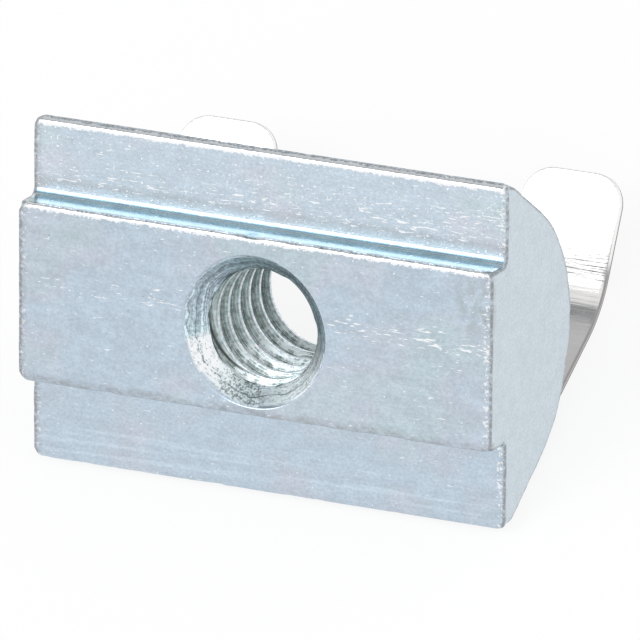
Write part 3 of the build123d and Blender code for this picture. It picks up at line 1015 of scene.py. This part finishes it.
def zinc_plating(finish, nut):
    """Blue-white plating over drawn steel: soft lilac and green patches, fine lines along the bar, painted glints in
    bands, dull specks, painted highlights along the edges that are partly wear, a painted highlight and painted shade
    at the rail's root and upper wall, painted shade on the narrow upper side, under the rail's upper edge and round
    the ends, a stain along the rail's lower edge, and the turned hole with its painted reflections and shade. f is the
    height over the shoulders, edge the distance to a long edge and brink that to the cut end, in millimetres."""
    material, nodes, output = new_material("zinc_plating")
    times, plus, less, most, crisp = nodes.times, nodes.plus, nodes.less, nodes.most, nodes.crisp
    fade, window, mix, noise = nodes.fade, nodes.window, nodes.mix, nodes.noise
    vector = nut_coordinates(nodes)
    x, w, f = nodes.add("ShaderNodeSeparateXYZ", {"Vector": vector}).outputs
    edge, brink, lip, end, bore = map(nodes.attribute, ("edge", "brink", "lip", "end", "bore"))
    long_faces = less(less(1.0, bore, clamp=True), end, clamp=True)
    rail_side = fade(f, 0.9, 1.2)
    front = times(fade(f, -0.3, -0.15), fade(end, 0.6, 0.2))
    above = less(w, nut.rail_high)

    # soft colour patches, 3 to 6 mm across, and a lighter upper shoulder
    base = mix(fade(noise(vector, 0.28, stretch=(0.7, 1, 1)), 0.46, 0.62), finish.zinc, finish.zinc_lilac)
    base = mix(fade(noise(vector, 0.22, stretch=(0.9, 1.1, 1.3)), 0.54, 0.68), base, finish.zinc_green)
    base = mix(end, base, finish.zinc_end)
    lighter = mix(times(fade(w, 3.9, 4.5), front), (1, 1, 1), (1.1, 1.09, 1.075))
    base = mix(1.0, base, lighter, "MULTIPLY")
    # a darker, browner strip above the rail's corner; painted shade and reflection in deeper blue on the rail's upper
    #     # wall; and a painted highlight in the corner between them
    beside_corner = times(window(above, 0.3, 0.42, 0.6, 1.0), front)
    base = mix(beside_corner, base, mix(1.0, base, (0.86, 0.83, 0.81), "MULTIPLY"))
    wall_shade = times(window(above, -0.2, -0.1, 0.05, 0.15), fade(f, 0.25, 0.4))
    base = mix(wall_shade, base, finish.wall_shade_blue)
    # the corner: a painted highlight, near white on the shoulder's side, turning to a painted blue reflection on the
    # wall's side
    oval = nodes.add("ShaderNodeCombineXYZ", {0: times(above, 2.3), 1: f}).outputs[0]
    corner_gap = nodes.add("ShaderNodeVectorMath", {0: oval}, operation="LENGTH").outputs["Value"]
    corner = times(fade(corner_gap, 0.62, 0.38), fade(end, 0.3, 0.0))
    deeper = mix(fade(above, 0.0, 0.12), (1, 1, 1), (0.56, 0.76, 0.98))
    base = mix(corner, base, mix(1.0, finish.root_highlight, deeper, "MULTIPLY"))

    # mottling of the crystals, 0.1 to 0.6 mm, and drawing lines, lighter ones near the lower shoulder's outer edge
    mottle = noise(vector, 1.5, 4.0, (0.75, 1, 1), 0.6)
    grain = noise(vector, 8.0, 3.0, (0.8, 1, 1), 0.7)
    fine = times(fade(grain, 0.34, 0.66, (-0.075, 0.075)), less(1.0, times(end, 0.2)))
    lines = nodes.group(rolled_grain(), {"Vector": vector, "Fineness": 2.2, "Amount": 0.05})
    low_lines = times(fade(noise(vector, 4.0, stretch=(0.03, 1, 1)), 0.48, 0.62), window(w, -7.5, -7.1, -6.3, -5.2))
    shade = fade(mottle, 0.3, 0.7, (0.95, 1.045))
    for change in (fine, times(lines["Value"], long_faces), times(low_lines, times(long_faces, 0.1))):
        shade = times(shade, plus(1.0, change))
    base = nodes.shaded(base, shade)

    # painted glints of the plating: bright streaks along the bar, in bands, and bright dots
    band_upper = times(fade(w, 4.7, 4.95), fade(less(w, times(x, 0.05)), 6.6, 5.3))
    band_rail = times(window(w, 0.15, 0.5, 1.1, 1.7), fade(x, -14.0, 5.0, (0.25, 1.25)))
    band = most(times(band_upper, front), times(band_rail, rail_side))
    patchy = fade(noise(vector, 0.9, stretch=(0.5, 1, 1)), 0.36, 0.6, (0.45, 1.0))
    scatter = times(fade(w, 3.6, 4.6, (0.0, 0.03)), fade(f, -0.3, -0.15))
    level = less(less(0.7, scatter), times(band, patchy, 0.095))
    glint_streaks = crisp(less(noise(vector, 1.0, 2.0, (1.7, 10.0, 10.0), 0.6), level), 26.0)
    glint_dots = crisp(less(noise(vector, 8.5, 1.0, (0.8, 1, 1)), less(0.735, times(scatter, 2.1))), 24.0)
    bright = times(most(glint_streaks, glint_dots), long_faces)

    # painted highlights along the edges, partly wear: bright lines just inside the two upper long edges, and a broken
    # one
    #     # inside the ends' edges
    ragged = noise(vector, 4.2, 3.0, (0.5, 1, 1), 0.7)
    spots = plus(ragged, noise(vector, 7.5, rough=0.6))
    near = most(fade(edge, 0.34, 0.1), times(fade(edge, 0.43, 0.21), fade(w, 6.0, 6.5)))
    near = times(near, fade(w, 2.5, 3.0), most(fade(f, 1.28, 1.4), window(f, -0.2, -0.1, 0.1, 0.3)))
    worn = times(crisp(less(plus(spots, times(near, 0.44)), 1.16), 7.0), fade(near, 0.0, 0.3), long_faces)
    beside = window(brink, 0.08, 0.16, 0.26, 0.42)
    broken = times(crisp(less(plus(spots, times(beside, 0.12)), 1.16), 12.0), fade(beside, 0.0, 0.3), 0.8)
    bright = most(bright, most(worn, broken))

    # dull specks, the smudge, the stain along the rail's lower edge, painted shade on the narrow upper side, a painted
    #     # shadow line just under the rail's upper edge, the painted glints and edge highlights, and a painted shade
    #     line
    #     # round the ends with its pits
    dull = nodes.group(specks(), {"Vector": vector, "Per mm": 2.7, "Share": 0.12, "Size": 0.14})["Mask"]
    smudge = times(fade(x, 9.0, 9.9), window(w, 0.9, 2.0, 3.2, 4.2))
    smudge = times(smudge, rail_side, fade(noise(vector, 1.9, 4.0, (1.6, 0.8, 1)), 0.38, 0.62))
    ragged_w = plus(w, times(less(noise(vector, 1.6, 3.0, (0.6, 1, 1), 0.65), 0.5), 0.5))
    blotches = fade(noise(vector, 4.6, 3.0, (0.6, 1, 1), 0.65), 0.36, 0.62, (0.25, 1.0))
    stain = times(fade(ragged_w, -3.25, -3.62), rail_side, blotches)
    beads = noise(vector, 5.0, 3.0, rough=0.7)
    # painted shade on the narrow upper side
    upper_side_shade = times(fade(w, 7.44, 7.56), fade(f, -0.1, -0.18))
    # a painted shadow line on the rail's upper wall, just under its edge
    burr_shadow = times(window(f, 1.08, 1.2, 1.38, 1.43), window(above, -0.15, -0.06, 0.05, 0.15))
    # a painted shade line round the ends, and pits
    end_shade_line = times(lip, fade(beads, 0.38, 0.55, (0.3, 1.0)))
    pits = times(window(brink, 0.03, 0.08, 0.2, 0.5), fade(beads, 0.58, 0.64))
    for amount, tint in (
        (times(dull, 0.4), finish.zinc_dull_and_shade),
        (times(smudge, 0.4), finish.smudge),
        (times(stain, 0.42), finish.soot),
        (times(upper_side_shade, fade(beads, 0.42, 0.58, (0.3, 0.95))), finish.zinc_dull_and_shade),
        (times(burr_shadow, fade(ragged, 0.4, 0.55, (0.6, 1.0))), finish.zinc_dull_and_shade),
        (times(bright, 0.92), finish.zinc_highlight_and_wear),
        (times(most(end_shade_line, times(pits, 0.6)), 0.85), finish.zinc_dull_and_shade),
    ):
        base = mix(amount, base, tint)

    wall, turning = turned_hole(nodes, finish, vector, x, w, f)
    base = mix(bore, base, wall)
    rough = plus(plus(finish.zinc_gloss, times(bore, 0.12)), times(less(mottle, 0.5), 0.25))
    rough = less(rough, times(bright, 0.05), clamp=True)
    relief = plus(times(grain, 0.6), times(lines["Height"], times(long_faces, 0.4)))
    relief = plus(relief, times(turning, times(bore, 1.2)))
    relief = plus(relief, times(ragged, near, 1.5))
    bare_metal(nodes, output, base, rough, relief, 0.35)
    return material


def bright_sheet(finish, spring, knee_run):
    """Bright rolled stainless sheet: almost a mirror, with faint rolling lines along x, a soft haze, and a painted
    grey reflection band where the tongues leave the knee, which is at knee_run along the tongues' slope."""
    material, nodes, output = new_material("bright_sheet")
    vector = nut_coordinates(nodes)
    slope = math.radians(spring.slope)
    cut = nodes.attribute("mark")
    lines = nodes.group(rolled_grain(), {"Vector": vector, "Fineness": 3.5, "Amount": 0.05})
    haze = nodes.noise(vector, 0.5, 3.0)
    shade = nodes.times(nodes.plus(1.0, lines["Value"]), nodes.fade(haze, 0.3, 0.7, (0.96, 1.04)))
    base = nodes.shaded(finish.steel, shade)
    # a painted grey reflection band where the tongues leave the knee, broken into short lines
    run = nodes.less(nodes.dot(vector, (0.0, math.cos(slope), -math.sin(slope))), knee_run)
    short = nodes.noise(vector, 7.0, 4.0, (0.4, 2.6, 2.6), 0.7)
    band = nodes.times(nodes.window(run, -0.5, 0.4, 0.7, 3.4), nodes.fade(short, 0.34, 0.66, (0.3, 1.0)))
    base = nodes.mix(band, base, finish.steel_reflection_grey)
    # the cut edges: one half is painted dark, a painted shade line along the edge; the other half is sheared bright,
    #     # greyer by the knee with the painted reflection band
    base = nodes.mix(cut, base, finish.steel_edge_shade)
    sheared = nodes.mix(nodes.fade(run, 0.0, 0.9), finish.steel_reflection_grey, finish.steel_sheared)
    base = nodes.mix(nodes.fade(cut, -0.1, -0.7), base, sheared)
    rough = nodes.plus(finish.steel_gloss, nodes.times(haze, 0.06))
    rough = nodes.maths("ADD", rough, nodes.times(nodes.maths("ABSOLUTE", cut), 0.3), clamp=True)
    bare_metal(nodes, output, base, rough, lines["Height"], 0.65)
    return material


# ---------------------------------------------------------------- the studio

SHADOW_SHARE = 0.15   # how much of the floor that is seen takes the shadow
SOFTBOX_SIZE = 0.34   # m
SOFTBOX_AIM = (-0.41, -0.50, 0.76)
SOFTBOX_REACH = 0.6   # m
SENSOR = 36.0         # width of the camera's sensor, mm


def floor_material(tint):
    """Pale matt floor that takes the shadow. Seen directly, in metal or through glass, most of it is plain white."""
    material, nodes, output = new_material("pale_floor")
    path = nodes.add("ShaderNodeLightPath").outputs
    seen = nodes.most(path["Is Camera Ray"], nodes.most(path["Is Glossy Ray"], path["Is Transmission Ray"]))
    matt = nodes.add("ShaderNodeBsdfDiffuse", {"Color": (*tint, 1.0)})
    white = nodes.add("ShaderNodeEmission", {"Color": (1, 1, 1, 1), "Strength": 1.0})
    share = nodes.times(seen, 1 - SHADOW_SHARE)
    mixed = nodes.add("ShaderNodeMixShader", {0: share, 1: matt.outputs[0], 2: white.outputs[0]})
    nodes.tree.links.new(mixed.outputs[0], output.inputs["Surface"])
    return material


def studio_world():
    """White all round, with a dark strip overhead and a softer grey one behind it, both over the nut's left. The bend
    of a direction is its angle from straight up towards the back, in degrees."""
    world = bpy.data.worlds.new("studio")
    world.use_nodes = True
    world.node_tree.nodes.clear()
    nodes = Nodes(world.node_tree)
    x, y, z = nodes.add("ShaderNodeSeparateXYZ", {
        "Vector": nodes.add("ShaderNodeTexCoord").outputs["Generated"]}).outputs
    bend = nodes.times(nodes.maths("ARCTAN2", y, z), 180 / math.pi)
    left = nodes.window(x, -0.92, -0.72, 0.05, 0.35)
    behind = nodes.times(nodes.window(bend, 12.0, 26.0, 60.0, 78.0), left)
    overhead = nodes.times(nodes.window(bend, -1.0, 13.0, 17.0, 27.0), left)
    base = nodes.mix(behind, (1, 1, 1), (0.57, 0.58, 0.585))
    base = nodes.mix(overhead, base, (0.17, 0.18, 0.19))
    light = nodes.add("ShaderNodeBackground", {"Color": base, "Strength": 1.0})
    nodes.tree.links.new(light.outputs[0], nodes.add("ShaderNodeOutputWorld").inputs["Surface"])
    return world


class NUT_OT_studio(bpy.types.Operator):
    """Build the studio: floor, softbox, surrounding light and camera"""

    bl_idname = "tslot.studio"
    bl_label = "Studio"

    def execute(self, context):
        scene, studio = context.scene, context.scene.studio_settings
        half = studio.floor_size / 2
        mesh = bpy.data.meshes.new("floor")
        mesh.from_pydata([(-half, -half, 0), (half, -half, 0), (half, half, 0), (-half, half, 0)], [], [(0, 1, 2, 3)])
        floor = bpy.data.objects.new("floor", mesh)
        floor.data.materials.append(floor_material(studio.floor))
        context.collection.objects.link(floor)

        lamp = bpy.data.lights.new("softbox", "AREA")
        lamp.shape, lamp.size, lamp.energy = "DISK", SOFTBOX_SIZE, studio.softbox
        box = bpy.data.objects.new("softbox", lamp)
        aim = Vector(SOFTBOX_AIM).normalized()
        box.location = aim * SOFTBOX_REACH
        box.rotation_euler = aim.to_track_quat("Z", "Y").to_euler()
        context.collection.objects.link(box)

        scene.world = studio_world()
        scene.view_settings.view_transform = "Standard"

        flat = math.cos(studio.elevation)
        back = Vector((flat * math.sin(studio.azimuth), -flat * math.cos(studio.azimuth), math.sin(studio.elevation)))
        right = Vector((0, 0, 1)).cross(back).normalized()
        up = back.cross(right)
        lean_cos, lean_sin = math.cos(studio.lean), math.sin(studio.lean)
        up, right = up * lean_cos + right * lean_sin, right * lean_cos - up * lean_sin
        target = Vector(to_row(np.array(studio.target, float)))
        camera = bpy.data.objects.new("camera", bpy.data.cameras.new("camera"))
        camera.data.lens = studio.lens
        camera.data.sensor_width = SENSOR
        camera.data.clip_start, camera.data.clip_end = 0.05, 20.0
        turn = Matrix((right, up, back)).transposed().to_4x4()
        camera.matrix_world = Matrix.Translation(target + back * studio.distance) @ turn
        context.collection.objects.link(camera)
        scene.camera = camera
        return {"FINISHED"}


class NUT_PT_panel(bpy.types.Panel):
    """Lists the pieces and their sizes"""

    bl_idname = "NUT_PT_panel"
    bl_label = "T-slot nut"
    bl_space_type = "VIEW_3D"
    bl_region_type = "UI"
    bl_category = "T-slot nut"

    def draw(self, context):
        scene = context.scene
        for operator, groups in (
            (NUT_OT_body, (scene.nut_sizes, scene.thread_sizes, scene.finishes)),
            (NUT_OT_spring, (scene.spring_sizes,)),
            (NUT_OT_studio, (scene.studio_settings,)),
        ):
            column = self.layout.column()
            column.operator(operator.bl_idname)
            for group in groups:
                for name in group.__annotations__:
                    column.prop(group, name)


GROUPS = {"nut_sizes": NutSizes, "thread_sizes": ThreadSizes, "spring_sizes": SpringSizes, "finishes": Finishes,
          "studio_settings": StudioSettings}
OPERATORS = (NUT_OT_body, NUT_OT_spring, NUT_OT_studio)


def register():
    """Registers the classes and gives the scene its groups of sizes."""
    for cls in (*GROUPS.values(), *OPERATORS, NUT_PT_panel):
        bpy.utils.register_class(cls)
    for name, group in GROUPS.items():
        setattr(bpy.types.Scene, name, PointerProperty(type=group))


def unregister():
    """Takes the groups and classes away again."""
    for name in GROUPS:
        delattr(bpy.types.Scene, name)
    for cls in (NUT_PT_panel, *reversed(OPERATORS), *reversed(list(GROUPS.values()))):
        bpy.utils.unregister_class(cls)


def main():
    """Builds the studio and both pieces."""
    register()
    bpy.ops.tslot.studio()
    bpy.ops.tslot.body()
    bpy.ops.tslot.spring()


if __name__ == "__main__":
    main()
